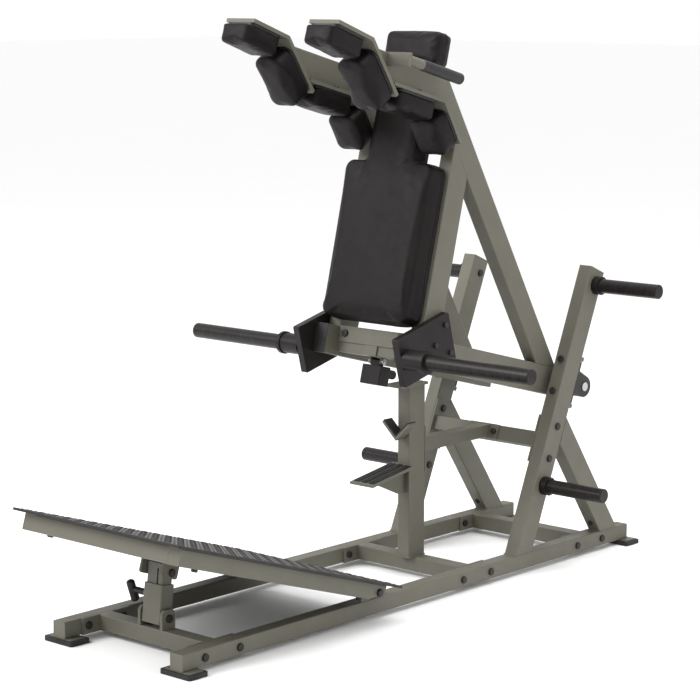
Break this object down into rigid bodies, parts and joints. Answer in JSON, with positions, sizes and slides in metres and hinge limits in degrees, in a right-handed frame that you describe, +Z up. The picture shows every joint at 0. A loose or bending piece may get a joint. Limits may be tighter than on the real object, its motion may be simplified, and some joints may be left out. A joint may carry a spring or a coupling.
{
  "type": "hack squat machine",
  "caption": "Hack squat machine: tilting shoulder-yoke arm with back pad and plate sleeves, floor frame with storage pegs, and an adjustable sloping foot platform.",
  "frame": {"origin": "on the floor, in the middle of the machine's length and width", "axes": "+X across the machine, +Y to the rear where the uprights stand, +Z up; the user faces -Y"},
  "size_m": [1.426, 2.2708, 1.838],
  "materials": {
    "frame_paint": "satin grey-olive powder coat",
    "black_steel": "satin black",
    "bolt_caps": "satin",
    "rubber": "matte",
    "black_plastic": "matte",
    "upholstery": "grained leatherette",
    "bearing_iron": "black",
    "bright_steel": "turned",
    "tread": "raised dark tread"
  },
  "bodies": {
    "frame": {"base_rails": "frame_paint", "base_crossmembers": "frame_paint", "joint_plates": "frame_paint", "foot_plates": "frame_paint", "foot_pads": "rubber", "post": "frame_paint", "saddle_plates": "frame_paint", "saddle_liners": "rubber", "landing_bracket": "frame_paint", "landing_strips": "rubber", "uprights": "frame_paint", "rear_braces": "frame_paint", "transverse_tube": "frame_paint", "centre_brace": "frame_paint", "storage_sleeves": "black_steel", "storage_collars": "black_steel", "pillow_blocks": "bearing_iron", "frame_lugs": "frame_paint", "pivot_bolts": "bolt_caps", "frame_bolts": "bolt_caps"},
    "arm": {"arm_lower_tubes": "frame_paint", "arm_tube_caps": "black_plastic", "arm_diagonals": "frame_paint", "arm_spines": "frame_paint", "yoke_beams": "frame_paint", "arm_crossmember": "frame_paint", "pad_mount_plate": "frame_paint", "headrest_support": "frame_paint", "pivot_shaft": "bright_steel", "sleeve_plates": "black_steel", "arm_sleeves": "black_steel", "sleeve_collars": "black_steel", "front_shoulder_straps": "frame_paint", "rear_shoulder_straps": "frame_paint", "shoulder_boards": "black_plastic", "back_board": "black_plastic", "back_pad": "upholstery", "headrest_board": "black_plastic", "headrest": "upholstery", "handles": "frame_paint", "handle_grips": "rubber", "arm_bolts": "bolt_caps", "latch_bracket": "frame_paint", "latch_pin": "bright_steel", "shoulder_pad_front_top": "upholstery", "shoulder_pad_front_face": "upholstery", "shoulder_pad_rear_top": "upholstery", "shoulder_pad_rear_face": "upholstery"},
    "latch": {"latch_block": "black_steel", "latch_bumper": "rubber"},
    "platform": {"platform_side_tubes": "frame_paint", "platform_cross_tubes": "frame_paint", "tread_plate": "tread", "clevis_ears": "frame_paint", "platform_bolts": "bolt_caps"},
    "strut_outer": {"strut_outer": "frame_paint"},
    "strut_inner": {"strut_inner": "frame_paint"},
    "pull_pin": {"pull_pin": "bright_steel", "pin_grip": "black_plastic"}
  },
  "joints": [
    {"name": "arm_pivot", "type": "hinge", "parent": "frame", "child": "arm", "pos_m": [0, 0.85124, 0.58998], "axis": [-1, 0, 0], "range_deg": [-21.5, 8]},
    {"name": "latch_pivot", "type": "hinge", "parent": "arm", "child": "latch", "pos_m": [0, 0.09452, 0.73991], "axis": [-1, 0, 0], "range_deg": [0, 20]},
    {"name": "platform_pivot", "type": "hinge", "parent": "frame", "child": "platform", "pos_m": [0, -0.2737, 0.1045], "axis": [-1, 0, 0], "range_deg": [-2, 2.5]},
    {"name": "strut_tilt", "type": "hinge", "parent": "frame", "child": "strut_outer", "pos_m": [0, -0.8907, 0.099], "axis": [-1, 0, 0], "range_deg": [-1.36, 1.58]},
    {"name": "strut_slide", "type": "slide", "parent": "strut_outer", "child": "strut_inner", "axis": [0, 0.1162, 0.9932], "range_m": [-0.02186, 0.0272]},
    {"name": "pin_pull", "type": "slide", "parent": "strut_outer", "child": "pull_pin", "axis": [-1, 0, 0], "range_m": [0, 0.012], "stiffness_N_per_m": 400, "springref_m": -0.01}
  ],
  "couplings": [
    {"joint": "strut_tilt", "follows": "platform_pivot", "ratio": 0.43026},
    {"joint": "strut_slide", "follows": "platform_pivot", "m_per_rad": 0.61199}
  ]
}
